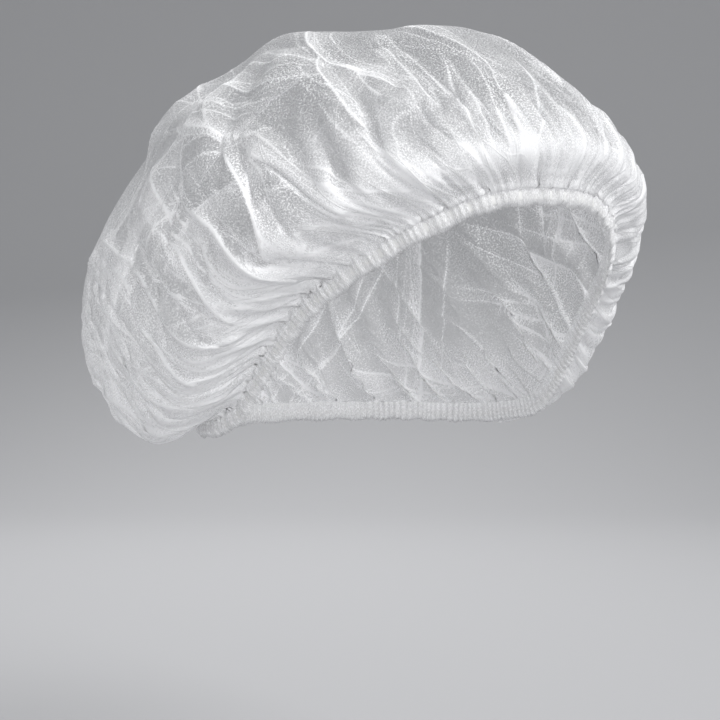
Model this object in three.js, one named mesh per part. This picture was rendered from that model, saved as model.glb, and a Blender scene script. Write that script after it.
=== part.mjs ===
import * as THREE from 'three';

// Disposable hair cover cap in its worn shape, sizes in millimetres.
// The wearer faces -Y, the wearer's left is +X and up is +Z.
// The origin is the middle of the head opening.

// The head opening, measured along the lower edge of the hem.
const openingHalfWidth = 80;
const openingFront = 100;
const openingBack = 88;
const browHeight = 49;
const napeDrop = 42;

// The crown of cloth above it.
const crownHeight = 128;
const crownSetBack = 13;
const puffBack = 77;
const sagBelow = 9;
const crownWall = 1.4;

// The gathered hem and the elastic that runs inside it.
const hemHeight = 8;
const hemWall = 1;
const elasticWidth = 4;
const elasticThickness = 1;
const play = 0.4;
const seamGap = 0.3;

// The gathers: small pleats that start at the hem and fade out up the crown.
const pleatCount = 32;
const pleatDepth = 2.8;
const pleatReach = 0.62;
const hemRuffle = 1.2;

// Surface steps: columns round the opening, and rings up to the top of the crown.
const columns = 4 * pleatCount;
const fineRings = 14;
const coarseRings = 5;
const coarseFrom = 0.66;

// Sections of the cap by angle from the middle of the forehead, in degrees.
// edge: height of the opening, as a share of browHeight when above 0 and of napeDrop below 0.
// puff: how far the cloth stands out past the opening, as a share of puffBack.
// full: height at which it stands out furthest, as a share of crownHeight.
// sag: 0 where the cloth rises round from the hem, 1 where it runs out flat from it and
// hangs by sagBelow.
// lean: degrees that a fold drifts towards the nape on its way up.
const sections = [
  { angle: 0, edge: 1, puff: 0.07, full: 0.52, sag: 0, lean: 0 },
  { angle: 15, edge: 0.95, puff: 0.08, full: 0.5, sag: 0, lean: 40 },
  { angle: 30, edge: 0.73, puff: 0.12, full: 0.46, sag: 0, lean: 75 },
  { angle: 45, edge: 0.44, puff: 0.18, full: 0.41, sag: 0, lean: 100 },
  { angle: 60, edge: 0.1, puff: 0.26, full: 0.36, sag: 0.1, lean: 112 },
  { angle: 72, edge: -0.34, puff: 0.33, full: 0.31, sag: 0.3, lean: 115 },
  { angle: 85, edge: -0.8, puff: 0.39, full: 0.26, sag: 0.6, lean: 110 },
  { angle: 110, edge: -0.98, puff: 0.47, full: 0.14, sag: 1, lean: 90 },
  { angle: 145, edge: -1, puff: 0.75, full: 0.01, sag: 0.8, lean: 40 },
  { angle: 180, edge: -1, puff: 1, full: 0.02, sag: 1, lean: 0 },
];

// The deeper folds, each a crest or a groove between two places on the crown.
// A place is an angle in degrees, below 0 on the wearer's right, and a level from
// 0 at the hem to 1 at the top. Width is each side of the line. Rise is outward.
const folds = [
  { fromAngle: -50, fromLevel: 0.08, toAngle: -84, toLevel: 0.56, width: 13, rise: 4.5 },
  { fromAngle: -60, fromLevel: 0.1, toAngle: -94, toLevel: 0.52, width: 14, rise: -5 },
  { fromAngle: -42, fromLevel: 0.4, toAngle: -80, toLevel: 0.8, width: 13, rise: 3.5 },
  { fromAngle: -26, fromLevel: 0.06, toAngle: -46, toLevel: 0.42, width: 9, rise: 3 },
  { fromAngle: -34, fromLevel: 0.05, toAngle: -58, toLevel: 0.44, width: 10, rise: -3 },
  { fromAngle: -68, fromLevel: 0.1, toAngle: -88, toLevel: 0.36, width: 11, rise: 5 },
  { fromAngle: -72, fromLevel: 0.08, toAngle: -106, toLevel: 0.4, width: 12, rise: -5 },
  { fromAngle: -84, fromLevel: 0.08, toAngle: -112, toLevel: 0.38, width: 13, rise: 5.5 },
  { fromAngle: -90, fromLevel: 0.06, toAngle: -126, toLevel: 0.3, width: 12, rise: -4.5 },
  { fromAngle: -18, fromLevel: 0.35, toAngle: -50, toLevel: 0.72, width: 12, rise: -3 },
  { fromAngle: -10, fromLevel: 0.14, toAngle: -16, toLevel: 0.7, width: 9, rise: 2.5 },
  { fromAngle: 2, fromLevel: 0.05, toAngle: 6, toLevel: 0.46, width: 8, rise: -2.5 },
  { fromAngle: 22, fromLevel: 0.05, toAngle: 28, toLevel: 0.4, width: 9, rise: 3 },
  { fromAngle: 38, fromLevel: 0.06, toAngle: 62, toLevel: 0.5, width: 12, rise: -4 },
  { fromAngle: 56, fromLevel: 0.08, toAngle: 88, toLevel: 0.58, width: 13, rise: 4.5 },
  { fromAngle: 74, fromLevel: 0.1, toAngle: 102, toLevel: 0.42, width: 12, rise: -5 },
  { fromAngle: 92, fromLevel: 0.08, toAngle: 118, toLevel: 0.5, width: 13, rise: 4 },
  { fromAngle: 118, fromLevel: 0.06, toAngle: 134, toLevel: 0.44, width: 15, rise: -5 },
  { fromAngle: 142, fromLevel: 0.1, toAngle: 150, toLevel: 0.6, width: 15, rise: 4 },
  { fromAngle: 166, fromLevel: 0.04, toAngle: 160, toLevel: 0.4, width: 15, rise: -5 },
  { fromAngle: -134, fromLevel: 0.1, toAngle: -140, toLevel: 0.56, width: 16, rise: 5 },
  { fromAngle: -152, fromLevel: 0.04, toAngle: -158, toLevel: 0.46, width: 15, rise: -5 },
  { fromAngle: -172, fromLevel: 0.08, toAngle: -176, toLevel: 0.6, width: 15, rise: 4 },
];

// Soft puffs and dents that break the round outline of the crown.
// reach: how far each one spreads, in millimetres.
const puffs = [
  { angle: -97, level: 0.8, reach: 16, rise: 6.5 },
  { angle: -105, level: 0.73, reach: 16, rise: -6 },
  { angle: -121, level: 0.67, reach: 18, rise: 7 },
  { angle: -127, level: 0.55, reach: 32, rise: -8 },
  { angle: -124, level: 0.42, reach: 18, rise: 2 },
  { angle: -133, level: 0.23, reach: 17, rise: -5.5 },
  { angle: 14, level: 0.72, reach: 28, rise: 4.5 },
  { angle: 28, level: 0.42, reach: 18, rise: -3 },
  { angle: 60, level: 0.3, reach: 20, rise: 2 },
  { angle: 66, level: 0.15, reach: 18, rise: -8 },
  { angle: 62, level: 0.56, reach: 26, rise: -2 },
  { angle: 128, level: 0.7, reach: 30, rise: -4 },
  { angle: 172, level: 0.72, reach: 30, rise: -4 },
  { angle: -150, level: 0.7, reach: 28, rise: 2 },
];

const turn = 2 * Math.PI;
const radians = (degrees) => (degrees * Math.PI) / 180;
const clamp = (value, low, high) => Math.min(high, Math.max(low, value));
const smooth = (value) => {
  const t = clamp(value, 0, 1);
  return t * t * (3 - 2 * t);
};

// A column of the section table at any angle: a cubic through the rows, level at both ends.
function fromSections(angle, column) {
  const wrapped = Math.abs(((angle + Math.PI) % turn + turn) % turn - Math.PI);
  const degrees = clamp((wrapped * 180) / Math.PI, 0, 180);
  const last = sections.length - 1;
  let row = 0;
  while (row < last - 1 && sections[row + 1].angle <= degrees) row += 1;
  const slope = (i) => {
    if (i === 0 || i === last) return 0;
    const before = sections[i - 1];
    const after = sections[i + 1];
    return (after[column] - before[column]) / (after.angle - before.angle);
  };
  const a = sections[row];
  const b = sections[row + 1];
  const span = b.angle - a.angle;
  const t = (degrees - a.angle) / span;
  const t2 = t * t;
  const t3 = t2 * t;
  return a[column] * (2 * t3 - 3 * t2 + 1) + b[column] * (3 * t2 - 2 * t3)
    + span * (slope(row) * (t3 - 2 * t2 + t) + slope(row + 1) * (t3 - t2));
}

// Distance from the middle axis to the opening: an oval, longer at the front than at the back.
function openingRadius(angle) {
  const along = Math.cos(angle) > 0 ? openingFront : openingBack;
  return 1 / Math.hypot(Math.sin(angle) / openingHalfWidth, Math.cos(angle) / along);
}

function edgeHeight(angle) {
  const share = fromSections(angle, 'edge');
  return share > 0 ? share * browHeight : share * napeDrop;
}

function edgePoint(angle) {
  const radius = openingRadius(angle);
  return new THREE.Vector3(radius * Math.sin(angle), -radius * Math.cos(angle), edgeHeight(angle));
}

// The hem stands square to its own edge: along the edge, outward from the head, and up the cloth.
function edgeFrame(angle) {
  const step = 0.02;
  const origin = edgePoint(angle);
  const along = edgePoint(angle + step).sub(edgePoint(angle - step)).normalize();
  const outward = new THREE.Vector3(along.y, -along.x, 0).normalize();
  const upward = outward.clone().cross(along).negate().normalize();
  if (upward.z < 0) upward.negate();
  return { origin, outward, upward };
}

// Plain crown: each section leaves the opening, curves out to its fullest place, either
// round or flat by the share of sag, and then rises as a quarter oval to the top. It starts
// at the upper edge of the hem.
function plainPoint(gatherAngle, level) {
  const drift = radians(fromSections(gatherAngle, 'lean')) * level * (1 - level * level);
  const wrapped = ((gatherAngle + Math.PI) % turn + turn) % turn - Math.PI;
  const angle = gatherAngle + Math.sign(wrapped) * drift;
  const near = openingRadius(angle);
  const far = near + fromSections(angle, 'puff') * puffBack;
  const full = fromSections(angle, 'full') * crownHeight;
  const start = Math.acos(near / far);
  const turned = -start + (Math.PI / 2 + start) * level;
  const rise = Math.max(0, Math.sin(turned));
  const sag = fromSections(angle, 'sag');
  const low = clamp(1 + turned / start, 0, 1);
  const edge = edgeHeight(angle);
  let radius = far * Math.cos(turned);
  let height = full + (crownHeight - full) * rise;
  if (turned < 0) {
    const round = full - (full - edge) * (Math.sin(-turned) / Math.sin(start));
    const flat = edge + (full - edge) * (1 - Math.cos((Math.PI / 2) * low));
    const flatRadius = near + (far - near) * Math.sin((Math.PI / 2) * low);
    radius += (flatRadius - radius) * sag;
    height = round + (flat - round) * sag - sag * sagBelow * Math.sin(Math.PI * low);
  }
  const point = new THREE.Vector3(radius * Math.sin(angle), -radius * Math.cos(angle), height);
  point.y += crownSetBack * rise;
  const fade = (1 - smooth(level / (0.35 - 0.2 * sag))) * (hemHeight + seamGap);
  if (fade > 0) point.addScaledVector(edgeFrame(gatherAngle).upward, fade);
  return { point, angle };
}

// The way the cloth faces: square to the hem at its lower edge, then square to the crown.
function plainNormal(gatherAngle, level) {
  const step = 0.01;
  const low = clamp(level, 0, 0.97);
  const across = plainPoint(gatherAngle + step, low).point.sub(plainPoint(gatherAngle - step, low).point);
  const up = plainPoint(gatherAngle, low + step).point.sub(plainPoint(gatherAngle, Math.max(0, low - step)).point);
  const square = across.cross(up).normalize();
  return edgeFrame(gatherAngle).outward.lerp(square, smooth(level / 0.06)).normalize();
}

// How far the gathers, folds and puffs push the cloth out at one place.
function clothRise(gatherAngle, level, place) {
  const swell = 0.75 + 0.25 * Math.sin(5 * gatherAngle + 1) + 0.2 * Math.sin(9 * gatherAngle + 2);
  const start = 0.4 + 0.6 * smooth(level / 0.08);
  const fade = Math.pow(clamp(1 - level / pleatReach, 0, 1), 1.2);
  let rise = pleatDepth * swell * start * fade * Math.cos(pleatCount * gatherAngle);
  const angle = place.angle;
  const radius = Math.hypot(place.point.x, place.point.y);
  const apart = (from) => Math.abs(((angle - from + Math.PI) % turn + turn) % turn - Math.PI) * radius;
  for (const fold of folds) {
    const share = (level - fold.fromLevel) / (fold.toLevel - fold.fromLevel);
    const line = fold.fromAngle + (fold.toAngle - fold.fromAngle) * clamp(share, -0.2, 1.3);
    const near = clamp(1 - Math.pow(apart(radians(line)) / fold.width, 2), 0, 1);
    rise += fold.rise * near * near * smooth((share + 0.2) / 0.4) * smooth((1.3 - share) / 0.5);
  }
  for (const puff of puffs) {
    const up = (level - puff.level) * 2 * crownHeight;
    const away = Math.hypot(apart(radians(puff.angle)), up) / puff.reach;
    rise += puff.rise * Math.exp(-away * away);
  }
  return rise * smooth((1 - level) / 0.12);
}

// One closed body out of rings of points. Each ring is a list of points that run the same way
// round, and a ring may have half the points of the one before. A cap point closes an end.
function meshFrom(name, vertices, faces, material) {
  let volume = 0;
  for (const [a, b, c] of faces) volume += vertices[a].dot(vertices[b].clone().cross(vertices[c]));
  const geometry = new THREE.BufferGeometry();
  const ordered = faces.flatMap(([a, b, c]) => (volume < 0 ? [a, c, b] : [a, b, c]));
  geometry.setAttribute('position', new THREE.Float32BufferAttribute(vertices.flatMap((v) => v.toArray()), 3));
  geometry.setIndex(ordered);
  geometry.computeVertexNormals();
  const mesh = new THREE.Mesh(geometry, material);
  mesh.name = name;
  return mesh;
}

function stitch(faces, lower, upper) {
  const count = upper.length;
  for (let j = 0; j < count; j += 1) {
    const k = (j + 1) % count;
    if (lower.length === count) {
      faces.push([lower[j], lower[k], upper[k]], [lower[j], upper[k], upper[j]]);
    } else {
      const a = lower[2 * j];
      const b = lower[2 * j + 1];
      const c = lower[(2 * j + 2) % lower.length];
      faces.push([a, b, upper[j]], [b, c, upper[k]], [b, upper[k], upper[j]]);
    }
  }
}

// The crown: an outer and an inner skin that are crownWall apart and join at the lower edge.
function crownMesh(material) {
  const levels = [];
  for (let i = 0; i <= fineRings; i += 1) {
    levels.push({ level: coarseFrom * Math.pow(i / fineRings, 1.25), count: columns });
  }
  for (let i = 1; i < coarseRings; i += 1) {
    levels.push({ level: coarseFrom + (1 - coarseFrom) * (i / coarseRings), count: columns / 2 });
  }
  const vertices = [];
  const faces = [];
  const skins = [0.5, -0.5].map((side) => levels.map(({ level, count }) => {
    const ring = [];
    for (let j = 0; j < count; j += 1) {
      const gatherAngle = (turn * j) / count - Math.PI;
      const place = plainPoint(gatherAngle, level);
      const push = clothRise(gatherAngle, level, place) + side * crownWall;
      ring.push(vertices.length);
      vertices.push(place.point.addScaledVector(plainNormal(gatherAngle, level), push));
    }
    return ring;
  }));
  skins.forEach((rings, skin) => {
    const start = faces.length;
    for (let i = 1; i < rings.length; i += 1) stitch(faces, rings[i - 1], rings[i]);
    const top = vertices.length;
    vertices.push(new THREE.Vector3(0, crownSetBack, crownHeight + (0.5 - skin) * crownWall));
    const last = rings[rings.length - 1];
    last.forEach((v, j) => faces.push([v, last[(j + 1) % last.length], top]));
    if (skin === 1) for (let i = start; i < faces.length; i += 1) faces[i].reverse();
  });
  stitch(faces, skins[1][0], skins[0][0]);
  return meshFrom('crown', vertices, faces, material);
}

// A band along the opening from a section that is given as outward and upward offsets.
function bandMesh(name, sectionAt, material) {
  const vertices = [];
  const faces = [];
  let points = 0;
  for (let j = 0; j < columns; j += 1) {
    const angle = (turn * j) / columns - Math.PI;
    const { origin, outward, upward } = edgeFrame(angle);
    const section = sectionAt(angle);
    points = section.length;
    for (const [out, up] of section) {
      vertices.push(origin.clone().addScaledVector(outward, out).addScaledVector(upward, up));
    }
  }
  for (let j = 0; j < columns; j += 1) {
    const next = (j + 1) % columns;
    for (let k = 0; k < points; k += 1) {
      const m = (k + 1) % points;
      const a = j * points + k;
      const b = next * points + k;
      const c = next * points + m;
      const d = j * points + m;
      faces.push([a, b, c], [a, c, d]);
    }
  }
  return meshFrom(name, vertices, faces, material);
}

// The hem: cloth folded round the elastic, open upward, ruffled on its outer face.
const room = elasticThickness / 2 + play;
const hemSection = (angle) => {
  const swell = 0.6 + 0.4 * Math.sin(7 * angle + 0.5);
  const ruffle = hemRuffle * swell * (0.5 + 0.5 * Math.cos(pleatCount * angle));
  const outer = room + ruffle;
  const full = room + hemWall + ruffle;
  return [
    [-room - hemWall, hemHeight],
    [-room - hemWall, 0],
    [full, 0],
    [full, hemHeight],
    [outer, hemHeight],
    [outer, hemWall],
    [-room, hemWall],
    [-room, hemHeight],
  ];
};

// The elastic: a flat closed loop that lies in the hem.
const elasticSection = () => {
  const half = elasticThickness / 2;
  const low = hemWall + play + 0.6;
  return [
    [-half, low + elasticWidth],
    [-half, low],
    [half, low],
    [half, low + elasticWidth],
  ];
};

const cloth = new THREE.MeshStandardMaterial({ color: 0xeef1f4, roughness: 0.85, metalness: 0 });
const hemCloth = new THREE.MeshStandardMaterial({ color: 0xf6f7f9, roughness: 0.85, metalness: 0 });
const rubber = new THREE.MeshStandardMaterial({ color: 0xe9e6df, roughness: 0.6, metalness: 0 });

const group = new THREE.Group();
group.name = 'hair_cover_cap';
group.add(crownMesh(cloth));
group.add(bandMesh('gathered_hem', hemSection, hemCloth));
group.add(bandMesh('elastic', elasticSection, rubber));

export default group;
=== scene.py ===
import math

import bpy
import numpy as np
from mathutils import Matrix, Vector
from mathutils.bvhtree import BVHTree


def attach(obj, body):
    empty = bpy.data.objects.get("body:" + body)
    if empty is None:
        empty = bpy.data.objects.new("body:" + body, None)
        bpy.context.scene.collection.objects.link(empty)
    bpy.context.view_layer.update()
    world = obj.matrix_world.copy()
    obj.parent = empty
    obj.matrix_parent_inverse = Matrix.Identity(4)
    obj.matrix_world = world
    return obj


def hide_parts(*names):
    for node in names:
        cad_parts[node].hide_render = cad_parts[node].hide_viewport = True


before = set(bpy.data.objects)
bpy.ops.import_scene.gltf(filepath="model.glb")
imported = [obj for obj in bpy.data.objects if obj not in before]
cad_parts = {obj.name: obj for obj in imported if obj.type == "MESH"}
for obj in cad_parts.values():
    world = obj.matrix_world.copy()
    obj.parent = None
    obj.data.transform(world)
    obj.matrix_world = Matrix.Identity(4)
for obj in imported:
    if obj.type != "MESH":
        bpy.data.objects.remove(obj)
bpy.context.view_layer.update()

# The head opening and the worn shape of the cap, in metres and degrees from mid forehead.
opening = {
    "halfWidth": 0.080,
    "front": 0.100,
    "back": 0.088,
    "browHeight": 0.049,
    "napeDrop": 0.042,
}
worn = {
    "crownHeight": 0.128,
    "crownSetBack": 0.013,
    "puffBack": 0.077,
    "sagBelow": 0.009,
    "hemHeight": 0.0064,
    "ringPoints": 1441,
    "angle": [0, 15, 30, 45, 60, 72, 85, 110, 145, 180],
    "edge": [1, 0.95, 0.73, 0.44, 0.1, -0.34, -0.8, -0.98, -1, -1],
    "puff": [0.07, 0.08, 0.12, 0.18, 0.26, 0.33, 0.39, 0.47, 0.75, 1],
    "full": [0.52, 0.5, 0.46, 0.41, 0.36, 0.31, 0.26, 0.14, 0.01, 0.02],
    "sag": [0, 0, 0, 0, 0.1, 0.3, 0.6, 1, 0.8, 1],
}
# A place well inside the cap, which tells its outer side from its inner side.
insidePlace = np.array([0, 0.03, 0.03])
# The highest level that is worked out, just short of the top, where all angles meet.
nearTop = 0.999


# A column of the worn table at any angle: a cubic between rows, level at both ends.
def wornValue(angle, column):
    knots = np.array(worn["angle"], float)
    values = np.array(worn[column], float)
    slope = np.zeros(len(knots))
    slope[1:-1] = (values[2:] - values[:-2]) / (knots[2:] - knots[:-2])
    turned = np.degrees(np.abs((angle + np.pi) % (2 * np.pi) - np.pi))
    row = np.clip(np.searchsorted(knots, turned, side="right") - 1, 0, len(knots) - 2)
    span = knots[row + 1] - knots[row]
    t = (turned - knots[row]) / span
    low = values[row] * (2 * t**3 - 3 * t**2 + 1) + values[row + 1] * (3 * t**2 - 2 * t**3)
    return low + span * (slope[row] * (t**3 - 2 * t**2 + t) + slope[row + 1] * (t**3 - t**2))


# From 0 to 1 and level at both ends: three times the square less twice the cube.
def smoothStep(value):
    t = np.clip(value, 0, 1)
    return t * t * (3 - 2 * t)


# Seen from above, the opening is half an ellipse in front and half a shorter one behind.
def openingRadius(angle):
    along = np.where(np.cos(angle) > 0, opening["front"], opening["back"])
    return 1 / np.hypot(np.sin(angle) / opening["halfWidth"], np.cos(angle) / along)


def edgeHeight(angle):
    share = wornValue(angle, "edge")
    return np.where(share > 0, share * opening["browHeight"], share * opening["napeDrop"])


def edgePoint(angle):
    radius = openingRadius(angle)
    return np.stack([radius * np.sin(angle), -radius * np.cos(angle), edgeHeight(angle)], -1)


# Outward from the head and up the cloth, both square to the opening's edge.
def edgeFrame(angle):
    step = 0.02
    along = edgePoint(angle + step) - edgePoint(angle - step)
    along /= np.linalg.norm(along, axis=-1, keepdims=True)
    outward = np.stack([along[..., 1], -along[..., 0], 0 * angle], -1)
    outward /= np.linalg.norm(outward, axis=-1, keepdims=True)
    upward = np.cross(along, outward)
    upward *= np.sign(upward[..., 2:3])
    return outward, upward


# The plain worn shape: level 0 at the top of the hem and 1 at the top of the crown. Each
# section runs out from the opening to its fullest place, then up as a quarter oval.
def wornPoint(angle, level):
    near = openingRadius(angle)
    far = near + wornValue(angle, "puff") * worn["puffBack"]
    full = wornValue(angle, "full") * worn["crownHeight"]
    edge = edgeHeight(angle)
    sag = wornValue(angle, "sag")
    start = np.arccos(near / far)
    turned = -start + (np.pi / 2 + start) * level
    rise = np.clip(np.sin(turned), 0, None)
    low = np.clip(1 + turned / start, 0, 1)
    radius = far * np.cos(turned)
    height = full + (worn["crownHeight"] - full) * rise
    roundHeight = full - (full - edge) * np.sin(-turned) / np.sin(start)
    flatHeight = edge + (full - edge) * (1 - np.cos(np.pi / 2 * low))
    flatRadius = near + (far - near) * np.sin(np.pi / 2 * low)
    below = turned < 0
    radius = np.where(below, radius + (flatRadius - radius) * sag, radius)
    hang = sag * worn["sagBelow"] * np.sin(np.pi * low)
    height = np.where(below, roundHeight + (flatHeight - roundHeight) * sag - hang, height)
    lift = (1 - smoothStep(level / (0.35 - 0.2 * sag))) * worn["hemHeight"]
    point = np.stack([radius * np.sin(angle), -radius * np.cos(angle), height], -1)
    point[..., 1] += worn["crownSetBack"] * rise
    return point + edgeFrame(angle)[1] * lift[..., None]


# Angles at which a ring of the worn shape has covered a share of its own length.
def ringAngles(level, shares):
    angles = np.linspace(-np.pi, np.pi, worn["ringPoints"])
    ring = wornPoint(angles, np.full(angles.shape, level))
    steps = np.linalg.norm(np.diff(ring, axis=0), axis=1)
    length = np.concatenate([[0], np.cumsum(steps)])
    return np.interp(shares, length / length[-1], angles)


# The gathers along the hem: fine waves on a slower one, both with wandering phases.
def fineGather(turn):
    swell = 0.7 + 0.3 * np.sin(17 * turn + 1)
    return swell * np.sin(228 * turn + 1.6 * np.sin(13 * turn) + 1.2 * np.sin(31 * turn + 1))


def slowGather(turn):
    return np.sin(71 * turn + 1.5 * np.sin(7 * turn) + 1.1 * np.sin(17 * turn + 1))


# A smooth mesh of four-sided faces. Its second map, where there is one, holds the gathers' turn
# and level, and a face that crosses the middle of the back is kept in one piece on it.
def newMesh(name, points, faces, uv, gathers=None):
    mesh = bpy.data.meshes.new(name)
    mesh.vertices.add(len(points))
    mesh.vertices.foreach_set("co", np.asarray(points, np.float32).ravel())
    mesh.loops.add(faces.size)
    mesh.loops.foreach_set("vertex_index", faces.astype(np.int32).ravel())
    mesh.polygons.add(len(faces))
    mesh.polygons.foreach_set("loop_start", np.arange(0, faces.size, 4, dtype=np.int32))
    mesh.polygons.foreach_set("use_smooth", np.full(len(faces), True))
    layer = mesh.uv_layers.new(name="UVMap")
    layer.data.foreach_set("uv", np.asarray(uv, np.float32)[faces.ravel()].ravel())
    if gathers is not None:
        corners = np.asarray(gathers, np.float32)[faces]
        behind = corners[..., 0] < corners[..., 0].max(axis=1, keepdims=True) - np.pi
        corners[..., 0] += behind * 2 * np.pi
        layer = mesh.uv_layers.new(name="gathers")
        layer.data.foreach_set("uv", corners.ravel())
    mesh.update(calc_edges=True)
    mesh.validate()
    piece = bpy.data.objects.new(name, mesh)
    bpy.context.scene.collection.objects.link(piece)
    return piece


def gridFaces(rows, columns, closedColumns=False, closedRows=False):
    number = np.arange(rows * columns).reshape(rows, columns)
    if closedRows:
        number = np.concatenate([number, number[:1]])
    if closedColumns:
        number = np.concatenate([number, number[:, :1]], axis=1)
    a, b = number[:-1, :-1], number[:-1, 1:]
    c, d = number[1:, 1:], number[1:, :-1]
    return np.stack([a, b, c, d], -1).reshape(-1, 4)


def vertexValues(piece, name, values):
    layer = piece.data.attributes.new(name, "FLOAT", "POINT")
    layer.data.foreach_set("value", np.asarray(values, np.float32).ravel())


# The crown cloth: one round sheet, gathered at its edge and settled over the worn shape. Its
# lean is how far the gathers drift back on their way up, in degrees, at the worn angles.
crownCloth = {
    "cells": 156,
    "radius": 0.2460,
    "lean": [0, 40, 75, 100, 112, 115, 110, 90, 40, 0],
    "layLevels": 61,
    "layTurns": 721,
    "layTop": 0.985,
    "coarseSteps": 150,
    "fineSteps": 60,
    "pressure": 0.000004,
    "pressureFrom": 0.06,
    "stiffness": 0.16,
    "yields": 0.05,
    "slack": 1.004,
    "keepsMoving": 0.88,
    "overshoot": 1.15,
    "guide": 0.02,
    "guideMost": 0.06,
    "hemGuide": 2.5,
    "hemGuideReach": 0.08,
    "wrinkle": 0.13,
    "sideWrinkle": 0.26,
    "upWrinkle": -0.04,
    "inside": 0.0025,
    "rimOut": 0.0010,
    "rimReach": 0.005,
    "slowRise": 0.0008,
    "fineRise": 0.00058,
    "riseReach": 0.012,
    "middleRise": 0.0018,
    "broadRise": 0.0030,
    "scatter": 0.0001,
    "scatterFrom": 0.005,
    "cornerIn": 0.0006,
    "cuff": 0.0022,
    "creaseDepth": 0.0006,
    "crestHeight": 0.0015,
    "fuzzFront": 0.050,
    "fuzzSide": 0.014,
    "calm": 0.80,
    "seed": 3,
}


# The angle at the hem from which a gather has drifted to this angle on its way up, found by
# twelve rounds of correction.
def gatherAngle(angle, level):
    knots = np.radians(worn["angle"])
    start = angle
    for turn in range(12):
        drift = np.radians(np.interp(np.abs(start), knots, crownCloth["lean"])) * level * (1 - level**2)
        start = angle - np.sign(angle) * np.minimum(drift, np.abs(angle))
    return start


# A table's value at any row and column, straight between its entries.
def between(table, row, column):
    r0 = np.clip(row.astype(int), 0, table.shape[0] - 2)
    c0 = np.clip(column.astype(int), 0, table.shape[1] - 2)
    fr, fc = row - r0, column - c0
    lower = table[r0, c0] * (1 - fc) + table[r0, c0 + 1] * fc
    upper = table[r0 + 1, c0] * (1 - fc) + table[r0 + 1, c0 + 1] * fc
    return lower * (1 - fr) + upper * fr


# Lays the flat sheet's square grid out as a disc, and each cell of it on the worn shape.
# Place on the disc: radius times the larger side, turned by the ratio of the two sides.
def layOut(cloth, cells):
    count = cells + 1
    side = np.linspace(-1, 1, count)
    a, b = np.meshgrid(side + 1e-9, side + 2e-9)
    wide = np.abs(a) > np.abs(b)
    reach = np.where(wide, a, b)
    turn = np.where(wide, np.pi / 4 * b / a, np.pi / 2 - np.pi / 4 * a / b)
    flat = cloth["radius"] * np.stack([reach * np.cos(turn), reach * np.sin(turn)], -1)
    levels = np.linspace(0, 1, cloth["layLevels"])
    front = wornPoint(np.zeros_like(levels), levels)
    back = wornPoint(np.full_like(levels, np.pi), levels)
    frontArc = np.linalg.norm(np.diff(front, axis=0), axis=1).sum()
    backArc = np.linalg.norm(np.diff(back, axis=0), axis=1).sum()
    pole = np.array([0, -cloth["radius"] * (backArc - frontArc) / (backArc + frontArc)])
    away = flat - pole
    distance = np.linalg.norm(away, axis=-1)
    direction = away / distance[..., None]
    along = direction @ pole
    reachEdge = -along + np.sqrt(along**2 - pole @ pole + cloth["radius"] ** 2)
    atEdge = pole + direction * reachEdge[..., None]
    upShare = np.clip(1 - distance / reachEdge, 0, 1)
    roundShare = (np.arctan2(atEdge[..., 0], -atEdge[..., 1]) + np.pi) / (2 * np.pi)
    shares = np.linspace(0, 1, cloth["layTurns"])
    angles = np.stack([ringAngles(min(level, cloth["layTop"]), shares) for level in levels])
    rays = wornPoint(angles, np.broadcast_to(levels[:, None], angles.shape))
    climbed = np.cumsum(np.linalg.norm(np.diff(rays, axis=0), axis=-1), axis=0)
    climbed = np.concatenate([np.zeros((1, len(shares))), climbed]) / climbed[-1]
    heights = np.stack([np.interp(levels, ray, levels) for ray in climbed.T], 1)
    rows = len(levels) - 1
    columns = roundShare * (len(shares) - 1)
    level = between(heights, upShare * rows, columns)
    angle = between(angles, level * rows, columns)
    gatherTurn = np.interp(gatherAngle(angle, level), angles[0], shares * 2 * np.pi - np.pi)
    fromHem = cloth["radius"] - np.linalg.norm(flat, axis=-1)
    return {
        "flat": flat,
        "upward": direction,
        "level": level,
        "angle": angle,
        "turn": gatherTurn,
        "fromHem": fromHem,
    }


# Small waves that the gathers grow from: the finest at the hem, longer ones above it.
def gathered(cloth, layout, skin):
    level, turn, fromHem = layout["level"], layout["turn"], layout["fromHem"]

    def swell(low, high):
        return np.sin(np.pi * np.clip((fromHem - low) / (high - low), 0, 1))

    middle = np.sin(46 * turn + 1.6 * np.sin(5 * turn + 2) + 1.1 * np.sin(13 * turn))
    broad = np.sin(25 * turn + 1.5 * np.sin(4 * turn + 1) + 1.2 * np.sin(9 * turn + 2.4))
    rise = cloth["slowRise"] * np.exp(-((fromHem / cloth["riseReach"]) ** 2)) * slowGather(turn)
    rise += (
        cloth["middleRise"] * swell(0, 0.05) * middle
        + cloth["broadRise"] * swell(0.02, 0.15) * broad
    )
    rise += cloth["rimOut"]
    points = wornPoint(layout["angle"], np.minimum(level, nearTop))
    outside = np.zeros_like(points)
    for i, j in np.ndindex(level.shape):
        outside[i, j] = skin.find_nearest(Vector(points[i, j]))[0]
    points = points + (outside - points) * smoothStep((fromHem - cloth["rimReach"]) / 0.04)[..., None]
    points = points + edgeFrame(layout["angle"])[0] * rise[..., None]
    chance = np.random.default_rng(cloth["seed"]).normal(0, cloth["scatter"], points.shape)
    return points + chance * (level > cloth["scatterFrom"])[..., None]


# The mean over a square of cells that reaches so many to each side.
def boxBlur(values, reach):
    for axis in (0, 1):
        pad = [(0, 0)] * values.ndim
        pad[axis] = (reach + 1, reach)
        total = np.cumsum(np.pad(values, pad, mode="edge"), axis=axis)
        size = values.shape[axis]
        high = np.take(total, np.arange(2 * reach + 1, 2 * reach + 1 + size), axis=axis)
        values = (high - np.take(total, np.arange(size), axis=axis)) / (2 * reach + 1)
    return values


def gridNormals(points):
    normal = np.cross(np.gradient(points, axis=1), np.gradient(points, axis=0))
    return normal / (np.linalg.norm(normal, axis=-1, keepdims=True) + 1e-12)


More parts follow.
